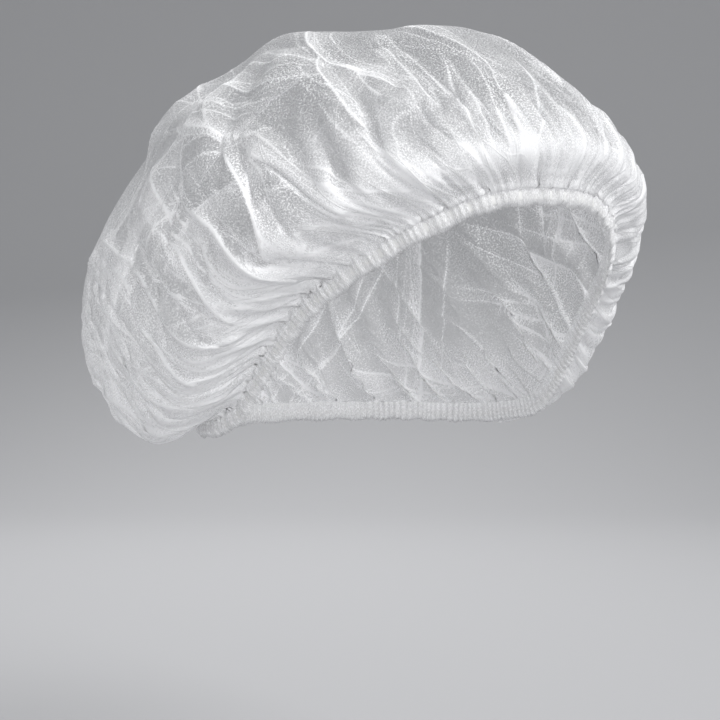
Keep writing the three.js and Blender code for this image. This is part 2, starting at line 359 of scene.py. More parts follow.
# The faces of a node that look outward, ready to be searched for the nearest place.
def outerSkin(node):
    mesh = node.data
    mesh.calc_loop_triangles()
    corners = np.array([node.matrix_world @ v.co for v in mesh.vertices])
    triangles = np.array([t.vertices[:] for t in mesh.loop_triangles])
    a, b, c = (corners[triangles[:, k]] for k in range(3))
    outward = np.cross(b - a, c - a)
    keep = (outward * ((a + b + c) / 3 - insidePlace)).sum(-1) > 0
    return BVHTree.FromPolygons(corners.tolist(), triangles[keep].tolist())


# The threads between neighbouring places, with the least and most length of each. A thread is
# at most as long as in the flat cloth, and at least as long as on the worn shape with room to
# wrinkle: what is left over stays in pleats too fine to show. A thread across two cells
# resists bending.
def threadLimits(cloth, layout, form):
    flat, fromHem = layout["flat"], layout["fromHem"]
    whole, low, high = slice(None), slice(None, -1), slice(1, None)
    farLow, farHigh = slice(None, -2), slice(2, None)
    bend = cloth["stiffness"]
    pairs = [
        ((whole, low), (whole, high), 1.0, False),
        ((low, whole), (high, whole), 1.0, False),
        ((low, low), (high, high), 0.5, False),
        ((low, high), (high, low), 0.5, False),
        ((whole, farLow), (whole, farHigh), bend, True),
        ((farLow, whole), (farHigh, whole), bend, True),
    ]
    loose = cloth["wrinkle"] * smoothStep(fromHem / 0.03)
    sideways = np.sin(layout["angle"]) ** 2
    loose = loose + cloth["sideWrinkle"] * sideways * smoothStep(fromHem / 0.06)
    loose = loose * (1 - smoothStep((layout["level"] - 0.45) / 0.4))
    threads = []
    weight = np.zeros(fromHem.shape + (1,))
    for first, second, pull, bends in pairs:
        thread = flat[second] - flat[first]
        longest = np.linalg.norm(thread, axis=-1)[..., None]
        shortest = np.linalg.norm(form[second] - form[first], axis=-1)[..., None]
        upPart = (thread * layout["upward"][first]).sum(-1)
        across = 1 - upPart**2 / longest[..., 0] ** 2
        room = 1 + cloth["upWrinkle"] + loose[first] * across
        longest = np.maximum(longest, shortest * cloth["slack"])
        shortest = np.minimum(longest, shortest * room[..., None])
        threads.append((first, second, shortest, longest, pull, bends))
        weight[first] += pull
        weight[second] += pull
    return threads, weight


# How far each place has to go for the cloth's local mean to lie on the skin, or near the hem on
# the worn shape. The mean is taken at every so many cells, and the way is read between them.
def wayToSkin(cloth, layout, points, skin, form, window):
    fromHem = layout["fromHem"]
    nearHem = (1 - smoothStep((fromHem - cloth["rimReach"]) / 0.10))[::window, ::window, None]
    mean = boxBlur(points, window)[::window, ::window]
    target = np.zeros_like(mean)
    for i, j in np.ndindex(mean.shape[:2]):
        place, normal = skin.find_nearest(Vector(mean[i, j]))[:2]
        target[i, j] = place - normal * cloth["inside"]
    way = target + (form[::window, ::window] - target) * nearHem - mean
    at = np.arange(fromHem.shape[0]) / window
    base = np.clip(at.astype(int), 0, way.shape[0] - 2)
    part = at - base
    way = way[base] * (1 - part)[:, None, None] + way[base + 1] * part[:, None, None]
    return way[:, base] * (1 - part)[:, None] + way[:, base + 1] * part[:, None]


# Settles the sheet. Each step moves it on, blows it out a little, brings every thread back
# within its lengths, and draws its local mean onto the crown's outer skin. A thread that
# resists bending yields where the bend is sharp.
def settle(cloth, layout, points, skin, steps, window):
    fromHem = layout["fromHem"]
    form = wornPoint(layout["angle"], np.minimum(layout["level"], nearTop))
    form = form + edgeFrame(layout["angle"])[0] * cloth["rimOut"]
    threads, weight = threadLimits(cloth, layout, form)
    free = np.ones(fromHem.shape + (1,))
    free[0] = free[-1] = free[:, 0] = free[:, -1] = 0
    hold = 1 + cloth["hemGuide"] * (1 - smoothStep(fromHem / cloth["hemGuideReach"]))
    hold = np.minimum(cloth["guideMost"], cloth["guide"] * hold)[..., None]
    blow = np.clip(fromHem / cloth["pressureFrom"], 0, 1)[..., None] * cloth["pressure"]
    side = np.sign((gridNormals(points) * (points - insidePlace)).sum())
    moving = np.zeros_like(points)
    for step in range(steps):
        if step % 10 == 0:
            way = wayToSkin(cloth, layout, points, skin, form, window)
            facing = gridNormals(points) * side
        before = points
        points = points + free * (moving * cloth["keepsMoving"] + facing * blow)
        for sweep in range(2):
            change = np.zeros_like(points)
            for first, second, shortest, longest, pull, bends in threads:
                gap = points[second] - points[first]
                length = np.sqrt((gap * gap).sum(-1, keepdims=True)) + 1e-12
                share = (length - np.clip(length, shortest, longest)) / length
                firm = pull / (1 + (share / cloth["yields"]) ** 2) if bends else pull
                part = gap * (share * 0.5 * firm)
                change[first] += part
                change[second] -= part
            points = points + free * change / weight * cloth["overshoot"]
        moving = points - before
        points = points + free * way * hold
    return points


# Twice as fine a grid, by a cubic through every row and then every column of points.
def refine(values):
    for axis in (0, 1):
        values = np.moveaxis(values, axis, 0)
        before = 2 * values[:1] - values[1:2]
        after = 2 * values[-1:] - values[-2:-1]
        padded = np.concatenate([before, values, after])
        fine = np.empty((2 * len(values) - 1,) + values.shape[1:])
        fine[::2] = values
        fine[1::2] = (9 * (padded[1:-2] + padded[2:-1]) - padded[:-3] - padded[3:]) / 16
        values = np.moveaxis(fine, 0, axis)
    return values


# Pressed folds. The rows are those on the side that the camera sees: angles in degrees, levels
# as on the worn shape, bow in degrees, the veil beside the fold and its rise in metres. Then
# come the folds that are drawn at random: a pair is the least and the most, a single value is
# kept as it is. The lengths at the end, in metres, are how far a fold counts, how fast its line
# and its ridge fade, its veil's least width and back, and the widest distance that is kept.
pressedFolds = {
    "columns": ("angle", "level", "topAngle", "topLevel", "bow", "strength", "veil", "rise"),
    "rows": [
        (-60, 0.16, -76, 0.52, 2, 0.8, 0.012, 0.0030),
        (-54, 0.03, -94, 0.53, 3, 1.0, -0.016, 0.0036),
        (-70, 0.12, -88, 0.38, 2, 0.9, 0.009, 0.0028),
        (-57, 0.00, -80, 0.34, 1, 0.7, -0.008, 0.0020),
        (-56, 0.04, -68, 0.28, -1, 0.6, 0.008, 0.0016),
        (-82, 0.12, -114, 0.41, 3, 0.9, 0.014, 0.0030),
        (-68, 0.08, -138, 0.56, 6, 1.0, -0.022, 0.0036),
        (-62, 0.00, -76, 0.20, 1, 0.7, 0.006, 0.0014),
        (-65, 0.00, -92, 0.26, 2, 0.9, -0.008, 0.0022),
        (-70, 0.02, -88, 0.22, 1, 0.7, 0.006, 0.0016),
        (-76, 0.01, -120, 0.33, 3, 0.9, -0.018, 0.0026),
        (-88, 0.03, -136, 0.30, 3, 0.9, 0.022, 0.0028),
        (-100, 0.05, -150, 0.34, 2, 0.8, 0.024, 0.0028),
        (-86, 0.38, -106, 0.56, 0, 0.7, -0.010, 0.0020),
        (-64, 0.46, -96, 0.60, -1, 0.7, 0.012, 0.0024),
        (-44, 0.16, -74, 0.52, 2, 0.7, 0.014, 0.0026),
        (-26, 0.02, -46, 0.42, 3, 0.8, -0.016, 0.0024),
        (-34, 0.02, -52, 0.30, 1, 0.5, 0.012, 0.0018),
        (-40, 0.36, -58, 0.74, -2, 0.6, 0.014, 0.0020),
        (-24, 0.36, -38, 0.80, -1, 0.5, -0.014, 0.0018),
        (-15, 0.03, -26, 0.30, 1, 0.5, 0.010, 0.0014),
        (-12, 0.08, -10, 0.66, 1, 0.6, 0.014, 0.0018),
        (2, 0.03, 4, 0.42, 1, 0.5, -0.010, 0.0014),
        (14, 0.05, 30, 0.64, -2, 0.6, 0.012, 0.0018),
        (27, 0.03, 24, 0.34, 0, 0.5, -0.010, 0.0014),
        (-52, 0.56, -120, 0.80, -6, 0.5, 0.018, 0.0020),
        (-84, 0.60, -150, 0.86, -4, 0.5, -0.018, 0.0020),
        (-30, 0.46, -80, 0.88, 0, 0.6, 0.022, 0.0022),
        (-6, 0.42, -24, 0.84, 0, 0.5, 0.020, 0.0018),
        (13, 0.44, 22, 0.86, 2, 0.5, -0.020, 0.0018),
        (33, 0.34, 52, 0.80, -2, 0.5, 0.020, 0.0018),
    ],
    "seed": 11,
    "mirrored": {"shift": (-4, 4), "above": 20, "rise": 0.55},
    "back": {
        "angles": (110, 252, 14),
        "shift": (-5, 5),
        "level": 0.04,
        "turn": (-24, 24),
        "climb": (0.21, 0.66),
        "bow": 2,
        "strength": (0.4, 0.8),
        "veil": (0.008, 0.020),
        "rise": 0.0014,
    },
    "companions": {
        "count": 5,
        "shift": (-5, 5),
        "level": (-0.04, 0.12),
        "spread": (1, 4),
        "top": (-0.16, 0.04),
        "bow": (-3, 3),
        "strength": (0.4, 0.9),
        "veil": (-0.5, 0.5),
        "rise": (0.25, 0.65),
    },
    "upper": {
        "angles": (75, 290, 9),
        "shift": (-6, 6),
        "level": (0.25, 0.62),
        "turn": (-20, 20),
        "climb": (0.15, 0.36),
        "bow": 2,
        "strength": (0.4, 0.9),
        "veil": (0.008, 0.022),
        "rise": (0.0006, 0.0022),
    },
    "points": 24,
    "fadeIn": 0.1,
    "fadeOut": 0.3,
    "reach": 0.022,
    "line": 0.002,
    "ridge": 0.0028,
    "leastVeil": 0.002,
    "veilBack": 0.001,
    "span": 0.01,
}


# Panels between the folds where a single layer lies flat and shows most of what is behind.
# Middle and half width in degrees, levels, and how far it leans back in degrees a level.
clearPanels = {
    "columns": ("angle", "level", "wide", "high", "lean"),
    "rows": [
        (74, 0.40, 10, 0.13, 70),
        (62, 0.56, 12, 0.12, 60),
        (96, 0.30, 12, 0.08, 130),
        (84, 0.18, 7, 0.05, 150),
        (116, 0.50, 14, 0.12, 60),
        (22, 0.62, 14, 0.14, 30),
        (44, 0.72, 16, 0.10, 40),
        (10, 0.44, 7, 0.10, 0),
        (60, 0.30, 5, 0.10, 60),
    ],
}


# How far a place lies in a clear panel: 1 in the middle, falling off as the exponential of the
# fourth power of its distance, measured in half widths and half heights.
def clearness(panels, layout):
    turned = np.degrees(np.abs(layout["angle"]))
    most = np.zeros(turned.shape)
    for values in panels["rows"]:
        row = dict(zip(panels["columns"], values))
        up = layout["level"] - row["level"]
        across = (turned - row["angle"] - row["lean"] * up) / row["wide"]
        most = np.maximum(most, np.exp(-((across**2 + (up / row["high"]) ** 2) ** 2)))
    return most


# Every fold: the table's, its like on the other side of the head, some at the back, with each
# of these a few thin ones that start near it and drift apart on their way up, and low ones over
# the upper part of the back.
def foldRows(folds):
    chance = np.random.default_rng(folds["seed"])

    def drawn(value):
        return chance.uniform(*value) if isinstance(value, tuple) else value

    def drawnFold(kind, angle):
        start = angle + drawn(kind["shift"])
        level = drawn(kind["level"])
        return dict(
            angle=start,
            level=level,
            topAngle=start + drawn(kind["turn"]),
            topLevel=level + drawn(kind["climb"]),
            bow=kind["bow"],
            strength=drawn(kind["strength"]),
            veil=chance.choice([-1, 1]) * drawn(kind["veil"]),
            rise=drawn(kind["rise"]),
        )

    rows = [dict(zip(folds["columns"], row)) for row in folds["rows"]]
    mirrored = folds["mirrored"]
    for row in list(rows):
        shift = drawn(mirrored["shift"])
        if row["angle"] < -mirrored["above"]:
            rows.append(dict(
                row,
                angle=-row["angle"] + shift,
                topAngle=-row["topAngle"] + 2 * shift,
                bow=-row["bow"],
                veil=-row["veil"],
                rise=row["rise"] * mirrored["rise"],
            ))
    rows += [drawnFold(folds["back"], angle) for angle in range(*folds["back"]["angles"])]
    thin = folds["companions"]
    for row in list(rows):
        for number in range(thin["count"]):
            shift = drawn(thin["shift"])
            rows.append(dict(
                row,
                angle=row["angle"] + shift,
                level=max(0, row["level"] + drawn(thin["level"])),
                topAngle=row["topAngle"] + shift * drawn(thin["spread"]),
                topLevel=row["topLevel"] + drawn(thin["top"]),
                bow=drawn(thin["bow"]),
                strength=row["strength"] * drawn(thin["strength"]),
                veil=row["veil"] * drawn(thin["veil"]),
                rise=row["rise"] * drawn(thin["rise"]),
            ))
    rows += [drawnFold(folds["upper"], angle) for angle in range(*folds["upper"]["angles"])]
    return rows


# What the folds do at each place of the cloth: how far off the strongest near fold is and on
# which side, how strong it is there, and the most that any veil or ridge gives. A fold runs
# straight in angle and level from its start to its top, bowed sideways by half a sine wave, and
# its ridge falls off as the exponential of the distance.
def pressFolds(folds, layout):
    form = wornPoint(layout["angle"], np.minimum(layout["level"], nearTop))
    side, near, veils, rises = (np.zeros(form.shape[:2]) for k in range(4))
    share = np.linspace(0, 1, folds["points"])
    for row in foldRows(folds):
        angle = row["angle"] + (row["topAngle"] - row["angle"]) * share
        angle = angle + row["bow"] * np.sin(np.pi * share)
        level = row["level"] + (row["topLevel"] - row["level"]) * share
        line = wornPoint(np.radians(angle), level)
        lowest, highest = line.min(0) - folds["reach"], line.max(0) + folds["reach"]
        inside = ((form > lowest) & (form < highest)).all(-1)
        spots = form[inside]
        gaps = ((spots[:, None] - line) ** 2).sum(-1)
        nearest = gaps.argmin(1)
        step = np.gradient(line, axis=0)
        spacing = np.linalg.norm(step, axis=-1)[nearest]
        heading = step[nearest] / spacing[:, None]
        away = spots - line[nearest]
        along = (away * heading).sum(-1)
        across = away - heading * along[:, None]
        distance = np.linalg.norm(across, axis=-1)
        hand = np.sign((np.cross(heading, spots - insidePlace) * across).sum(-1))
        passed = (nearest + along / spacing) / (len(share) - 1)
        fade = row["strength"] * smoothStep(passed / folds["fadeIn"])
        fade = fade * smoothStep((1 - passed) / folds["fadeOut"])
        closeness = fade * np.exp(-distance / folds["line"])
        beats = closeness > near[inside]
        side[inside] = np.where(beats, hand * distance, side[inside])
        near[inside] = np.maximum(closeness, near[inside])
        beside = hand * np.sign(row["veil"]) * distance
        ahead = 1 - beside / max(abs(row["veil"]), folds["leastVeil"])
        behind = 1 + beside / folds["veilBack"]
        veil = fade * np.where(beside > 0, ahead, behind).clip(0, 1)
        veils[inside] = np.maximum(veils[inside], veil)
        ridge = fade * row["rise"] * np.exp(-distance / folds["ridge"])
        rises[inside] = np.maximum(rises[inside], ridge)
    return side, near, veils, rises


# The area of every cell, as half the cross product of its diagonals.
def cellAreas(points):
    if points.shape[-1] == 2:
        points = np.concatenate([points, np.zeros(points.shape[:-1] + (1,))], -1)
    across = points[1:, 1:] - points[:-1, :-1]
    other = points[1:, :-1] - points[:-1, 1:]
    return np.linalg.norm(np.cross(across, other), axis=-1) / 2


# The sheet settled on a coarse grid, and then on a grid twice as fine.
def settledCloth(cloth, fine):
    coarse = layOut(cloth, cloth["cells"])
    skin = outerSkin(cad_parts["crown"])
    points = gathered(cloth, coarse, skin)
    points = refine(settle(cloth, coarse, points, skin, cloth["coarseSteps"], 4))
    print("crown gathered")
    points = settle(cloth, fine, points, skin, cloth["fineSteps"], 8)
    print("crown settled", points.reshape(-1, 3).min(0), points.reshape(-1, 3).max(0))
    return points


# Smooths the upper crown, raises the pressed folds square to the smoothed cloth, and draws the
# edge in over the hem: a fine ruffle, and a corner that stands up beside the hem's top.
def foldedCloth(cloth, fine, points, rises):
    calm = cloth["calm"] * smoothStep((fine["level"] - 0.3) / 0.25)[..., None]
    points = points + (boxBlur(boxBlur(points, 3), 3) - points) * calm
    broad = boxBlur(boxBlur(points, 6), 6)
    normals = gridNormals(broad)
    normals *= np.sign((normals * (broad - insidePlace)).sum())
    fromHem = fine["fromHem"]
    points = points + normals * (rises * smoothStep(fromHem / cloth["riseReach"]))[..., None]
    print("crown folded")
    outward, upward = edgeFrame(fine["angle"])
    ruffle = cloth["fineRise"] * np.exp(-((fromHem / cloth["riseReach"]) ** 2))
    ruffle = ruffle * fineGather(fine["turn"])
    corner = fromHem / cloth["rimReach"] * np.exp(1 - fromHem / cloth["rimReach"])
    points = points + outward * (ruffle - cloth["cornerIn"] * corner)[..., None]
    return points + upward * (cloth["cuff"] * corner)[..., None]


# How many times the flat cloth's area lies at each place.
def packedShare(fine, points):
    packed = cellAreas(fine["flat"]) / np.maximum(cellAreas(points), 1e-9)
    packed = np.pad(np.clip(packed, 0.7, 3), ((0, 1), (0, 1)), mode="edge")
    return boxBlur(packed, 2)


# White fuzz above the hem, higher on the front than at the sides and the back.
def hemFuzz(cloth, fine):
    forward = smoothStep(0.3 + np.cos(fine["angle"]))
    reach = cloth["fuzzSide"] + (cloth["fuzzFront"] - cloth["fuzzSide"]) * forward
    return (1 - smoothStep(fine["fromHem"] / reach)) * (0.55 + 0.45 * forward)


def makeCrown(cloth, folds):
    fine = layOut(cloth, 2 * cloth["cells"])
    points = settledCloth(cloth, fine)
    side, near, veils, rises = pressFolds(folds, fine)
    points = foldedCloth(cloth, fine, points, rises)
    normals = gridNormals(points)
    faces = gridFaces(*fine["level"].shape)
    if (normals * (points - insidePlace)).sum() < 0:
        normals = -normals
        faces = faces[:, ::-1]
    uv = fine["flat"] / (2 * cloth["radius"]) + 0.5
    gathers = np.stack([fine["turn"], fine["level"]], -1).reshape(-1, 2)
    piece = newMesh("sheerCrown", points.reshape(-1, 3), faces, uv.reshape(-1, 2), gathers=gathers)
    bend = ((points - boxBlur(points, 1)) * normals).sum(-1)
    crest = ((points - boxBlur(points, 5)) * normals).sum(-1)
    vertexValues(piece, "packed", packedShare(fine, points))
    vertexValues(piece, "crease", np.clip(np.abs(bend) / cloth["creaseDepth"], 0, 1) ** 1.5)
    vertexValues(piece, "crest", np.clip(crest / cloth["crestHeight"], -1, 1))
    vertexValues(piece, "level", fine["level"])
    vertexValues(piece, "foldSide", np.clip(side / folds["span"], -1, 1))
    vertexValues(piece, "foldNear", near * np.exp(np.abs(side) / folds["line"]))
    vertexValues(piece, "veil", veils)
    vertexValues(piece, "clear", clearness(clearPanels, fine))
    vertexValues(piece, "fuzz", hemFuzz(cloth, fine))
    print("crown area", cellAreas(points).sum(), "flat", cellAreas(fine["flat"]).sum())
    return piece


# The ruffled hem: the cloth's edge folded round the elastic and bunched by it.
hemBand = {
    "columns": 2600,
    "rows": 17,
    "height": 0.0088,
    "fullness": 0.0001,
    "tuck": 0.0005,
    "tuckBelow": 0.26,
    "tuckOver": 0.06,
    "crossFrom": 0.42,
    "crossOver": 0.16,
    "roundness": 0.9,
    "inner": -0.0017,
    "innerRuffle": 0.0004,
    "lowWave": 0.0004,
    "lowRuffle": 0.0003,
    "foldWidth": 0.0166,
    "cutSize": 0.53,
}


# Point of the hem at a turn round the opening and a share round its fold, from its outer
# top edge, down, round the lower edge and up to its inner top edge. Its height is the size of
# a cosine over the share, and a smooth step carries it from the outer to the inner distance.
def makeHem(hem):
    count = hem["columns"]
    turn = np.linspace(-np.pi, np.pi, count, endpoint=False)
    angle = ringAngles(0.0, (turn + np.pi) / (2 * np.pi))
    share = np.linspace(0, 1, hem["rows"])
    turn2, share2 = np.meshgrid(turn, share)
    outward, upward = edgeFrame(np.broadcast_to(angle, turn2.shape))
    origin = edgePoint(np.broadcast_to(angle, turn2.shape))
    width = np.sin(np.pi * share2)
    leaning = turn2 + 0.006 * np.sin(9 * turn2) * share2 + 0.004 * np.sin(23 * turn2 + 1) * share2
    fine = fineGather(leaning)
    slow = slowGather(turn2 + 0.004 * share2)
    ruffle = crownCloth["fineRise"] * fine + crownCloth["slowRise"] * slow
    outer = crownCloth["rimOut"] + ruffle * (1 - 0.2 * width) + hem["fullness"] * width
    inner = hem["inner"] + hem["innerRuffle"] * fine
    side = smoothStep((share2 - hem["crossFrom"]) / hem["crossOver"])
    outer = outer - hem["tuck"] * smoothStep((hem["tuckBelow"] - share2) / hem["tuckOver"])
    out = outer * (1 - side) + inner * side
    up = hem["height"] * np.abs(np.cos(np.pi * share2)) ** hem["roundness"]
    wave = np.sin(37 * turn2 + 3 * np.sin(5 * turn2))
    up = up + (hem["lowWave"] * wave + hem["lowRuffle"] * fine) * width**2
    points = origin + outward * out[..., None] + upward * up[..., None]
    faces = gridFaces(len(share), count, closedColumns=True)
    around = turn2 * crownCloth["radius"] / hem["cutSize"]
    uv = np.stack([around, share2 * hem["foldWidth"] / hem["cutSize"]], -1)
    return newMesh("ruffledHem", points.reshape(-1, 3), faces[:, ::-1], uv.reshape(-1, 2))


elasticBand = {
    "columns": 360,
    "sectionPoints": 12,
    "width": 0.0035,
    "thickness": 0.0009,
    "low": 0.0022,
    "mapWidth": 0.002,
}


# A wave with its flanks made steeper: its size raised to a power below one.
def steeper(wave, power):
    return np.sign(wave) * np.abs(wave) ** power


# The elastic: a rounded flat section carried round the opening inside the hem.
def makeElastic(band):
    turn = np.linspace(-np.pi, np.pi, band["columns"], endpoint=False)
    around = np.linspace(0, 2 * np.pi, band["sectionPoints"], endpoint=False)
    turn2, around2 = np.meshgrid(turn, around)
    outward, upward = edgeFrame(turn2)
    out = band["thickness"] / 2 * steeper(np.cos(around2), 0.5)
    up = band["low"] + band["width"] / 2 * (1 + steeper(np.sin(around2), 0.7))
    points = edgePoint(turn2) + outward * out[..., None] + upward * up[..., None]
    faces = gridFaces(*turn2.shape, closedColumns=True, closedRows=True)
    uv = np.stack([turn2, around2 * band["mapWidth"]], -1)
    return newMesh("elasticLoop", points.reshape(-1, 3), faces, uv.reshape(-1, 2))


def shader(name):
    material = bpy.data.materials.new(name)
    material.use_nodes = True
    nodes = material.node_tree.nodes
    return material, nodes, material.node_tree.links, nodes["Principled BSDF"]


def addNode(nodes, kind, **settings):
    node = nodes.new(kind)
    for key, value in settings.items():
        setattr(node, key, value)
    return node


# Works two values together, where each is a number or another node's output.
def maths(nodes, links, operation, first, second):
    node = addNode(nodes, "ShaderNodeMath", operation=operation)
    for socket, value in zip(node.inputs, (first, second)):
        if isinstance(value, (int, float)):
            socket.default_value = value
        else:
            links.new(value, socket)
    return node.outputs[0]


# The sheer cloth's finish: first how much each part of the pattern adds to its cover, then the
# patterns. A noise is its scale for a metre, its detail and its roughness; a range is where a
# pattern starts and where it is full; folds are cells along and across, and a width is a
# share of a cell.
sheerFinish = {
    "colour": (0.93, 0.93, 0.94, 1),
    "roughness": 0.65,
    "cover": -0.03,
    "fibre": 0.26,
    "speckle": 0.36,
    "cloud": 0.04,
    "crease": 0.35,
    "crest": 0.14,
    "packed": 0.28,
    "panel": 0.06,
    "fold": 0.20,
    "sharp": 0.75,
    "veil": 0.55,
    "edge": 0.42,
    "clear": 0.26,
    "threads": 0.34,
    "least": 0.05,
    "most": 0.95,
    "clothSpan": 2 * crownCloth["radius"],
    "bump": 0.0004,
    "specular": 0.3,
    "speckleBump": 0.15,
    "lineBump": 0.5,
    "fibreNoise": (430, 3, 0.6),
    "fibreWidth": 0.03,
    "speckleNoise": (1250, 3, 0.75),
    "speckleRange": (0.49, 0.58),
    "cloudNoise": (60, 2, 0.55),
    "cloudRange": (0.32, 0.68),
    "jitterNoise": (30, 2, 0.5),
    "patchNoise": (5, 2, 0.5),
    "patchRange": (0.42, 0.58),
    "longFolds": (12, 1.7, 1),
    "longJitter": 0.25,
    "longWidth": 0.025,
    "shortFolds": (21, 7, 1),
    "shortJitter": 0.3,
    "shortWidth": 0.06,
    "webFolds": (62, 24, 1),
    "webJitter": 0.3,
    "webWidth": 0.04,
    "webNoise": (35, 1, 0.5),
    "webRange": (0.45, 0.6),
    "shortShare": 0.6,
    "webShare": 0.5,
    "mostLines": 1.2,
    "foldLevels": (0.5, 0.85),
    "patchFuzz": 0.6,
    "closeRange": (1.1, 2.6),
    "sharpWidth": 0.07,
}


# Sheer nonwoven. How much it covers is a sum: curly fibres, which are the lines where a noise
# has its middle value, and speckle and clouds, which are the high places of finer and broader
# noises. On the crown come the edges and shades of three nets of random cells drawn out along
# the gathers, creases, crests, how closely the cloth is packed, the pressed folds' sharp lines
# and veils, and fuzz above the hem, less what clear panels take away but for their speckle. The
# sum is kept between a least and a most. Speckle and fold lines also stand up a little.
def sheerCloth(finish, name, folded=True):
    material, nodes, links, surface = shader(name)
    place = addNode(nodes, "ShaderNodeUVMap", uv_map="UVMap").outputs[0]
    scaled = addNode(nodes, "ShaderNodeVectorMath", operation="SCALE")
    links.new(place, scaled.inputs[0])
    scaled.inputs["Scale"].default_value = finish["clothSpan"]
    cloth = scaled.outputs[0]

    def noise(vector, kind, output="Fac"):
        node = addNode(nodes, "ShaderNodeTexNoise", noise_dimensions="2D")
        links.new(vector, node.inputs["Vector"])
        for socket, number in zip(("Scale", "Detail", "Roughness"), finish[kind + "Noise"]):
            node.inputs[socket].default_value = number
        return node.outputs[output]

    def ranged(value, low, high, start=0.0, end=1.0):
        node = addNode(nodes, "ShaderNodeMapRange", clamp=True)
        links.new(value, node.inputs["Value"])
        sockets = ("From Min", "From Max", "To Min", "To Max")
        for socket, number in zip(sockets, (low, high, start, end)):
            node.inputs[socket].default_value = number
        return node.outputs["Result"]

    def lineAlong(value, width):
        return ranged(value, 0, width, 1, 0)

    def cells(vector, feature="DISTANCE_TO_EDGE", output="Distance"):
        node = addNode(nodes, "ShaderNodeTexVoronoi", voronoi_dimensions="2D", feature=feature)
        links.new(vector, node.inputs["Vector"])
        node.inputs["Scale"].default_value = 1
        return node.outputs[output]

    def vectorMaths(operation, first, second):
        node = addNode(nodes, "ShaderNodeVectorMath", operation=operation)
        links.new(first, node.inputs[0])
        if isinstance(second, tuple):
            node.inputs[1].default_value = second
        else:
            links.new(second, node.inputs[1])
        return node.outputs[0]

    def shaken(vector, jitter, amount):
        centred = vectorMaths("SUBTRACT", jitter, (0.5, 0.5, 0.5))
        return vectorMaths("ADD", vector, vectorMaths("MULTIPLY", centred, (amount, amount, 0)))

    def times(first, second):
        return maths(nodes, links, "MULTIPLY", first, second)

    def plus(first, second, share):
        return maths(nodes, links, "ADD", first, times(second, share))

    def sizeOf(value):
        return maths(nodes, links, "ABSOLUTE", value, 0)

    fromMiddle = maths(nodes, links, "SUBTRACT", noise(cloth, "fibre"), 0.5)
    fibres = lineAlong(sizeOf(fromMiddle), finish["fibreWidth"])
    speckle = ranged(noise(cloth, "speckle"), *finish["speckleRange"])
    cloud = ranged(noise(cloth, "cloud"), *finish["cloudRange"])
    cover = plus(finish["cover"], fibres, finish["fibre"])
    cover = plus(cover, speckle, finish["speckle"])
    cover = plus(cover, cloud, finish["cloud"])
    height = times(speckle, finish["speckleBump"])
    if folded:
        def stored(attribute):
            return addNode(nodes, "ShaderNodeAttribute", attribute_name=attribute).outputs["Fac"]

        def net(vector, kind):
            drawnOut = vectorMaths("MULTIPLY", vector, finish[kind + "Folds"])
            return shaken(drawnOut, jitter, finish[kind + "Jitter"])

        gathers = addNode(nodes, "ShaderNodeUVMap", uv_map="gathers").outputs[0]
        lowPart = ranged(stored("level"), *finish["foldLevels"], 1, 0)
        jitter = noise(cloth, "jitter", "Color")
        patches = ranged(noise(gathers, "patch"), *finish["patchRange"])
        longFolds = net(gathers, "long")
        longLine = lineAlong(cells(longFolds), finish["longWidth"])
        shortLine = times(lineAlong(cells(net(gathers, "short")), finish["shortWidth"]), patches)
        web = lineAlong(cells(net(cloth, "web")), finish["webWidth"])
        web = times(web, ranged(noise(cloth, "web"), *finish["webRange"]))
        panel = addNode(nodes, "ShaderNodeSeparateColor")
        links.new(cells(longFolds, "F1", "Color"), panel.inputs[0])
        lines = plus(times(longLine, lowPart), web, finish["webShare"])
        lines = plus(lines, times(shortLine, lowPart), finish["shortShare"])
        lines = maths(nodes, links, "MINIMUM", lines, finish["mostLines"])
        close = ranged(stored("packed"), *finish["closeRange"])
        sharp = lineAlong(sizeOf(stored("foldSide")), finish["sharpWidth"])
        cover = plus(cover, lines, finish["fold"])
        cover = plus(cover, times(panel.outputs[0], lowPart), finish["panel"])
        cover = plus(cover, stored("crease"), finish["crease"])
        cover = plus(cover, stored("crest"), finish["crest"])
        cover = plus(cover, close, finish["packed"])
        cover = plus(cover, times(sharp, stored("foldNear")), finish["sharp"])
        cover = plus(cover, stored("veil"), finish["veil"])
        fuzz = times(stored("fuzz"), ranged(patches, 0, 1, finish["patchFuzz"], 1))
        cover = plus(cover, fuzz, finish["edge"])
        cover = plus(cover, stored("clear"), -finish["clear"])
        cover = plus(cover, times(speckle, stored("clear")), finish["threads"])
        height = plus(height, lines, finish["lineBump"])
    cover = maths(nodes, links, "MAXIMUM", cover, finish["least"])
    cover = maths(nodes, links, "MINIMUM", cover, finish["most"])
    links.new(cover, surface.inputs["Alpha"])
    bump = addNode(nodes, "ShaderNodeBump")
    bump.inputs["Distance"].default_value = finish["bump"]
    bump.inputs["Strength"].default_value = 1.0
    links.new(height, bump.inputs["Height"])
    links.new(bump.outputs[0], surface.inputs["Normal"])
    surface.inputs["Base Color"].default_value = finish["colour"]
    surface.inputs["Roughness"].default_value = finish["roughness"]
    surface.inputs["Specular IOR Level"].default_value = finish["specular"]
    return material


hemFinish = dict(sheerFinish, cover=0.45, speckle=0.3, fibre=0.2)
elasticFinish = {"colour": (0.72, 0.72, 0.71, 1), "roughness": 0.6}
paperFinish = {"colour": (0.42, 0.42, 0.43, 1), "roughness": 0.9}


# A plain even finish, for the elastic hidden in the hem and for the stage.
def plainFinish(finish, name):
    material, nodes, links, surface = shader(name)
    surface.inputs["Base Color"].default_value = finish["colour"]
    surface.inputs["Roughness"].default_value = finish["roughness"]
    return material


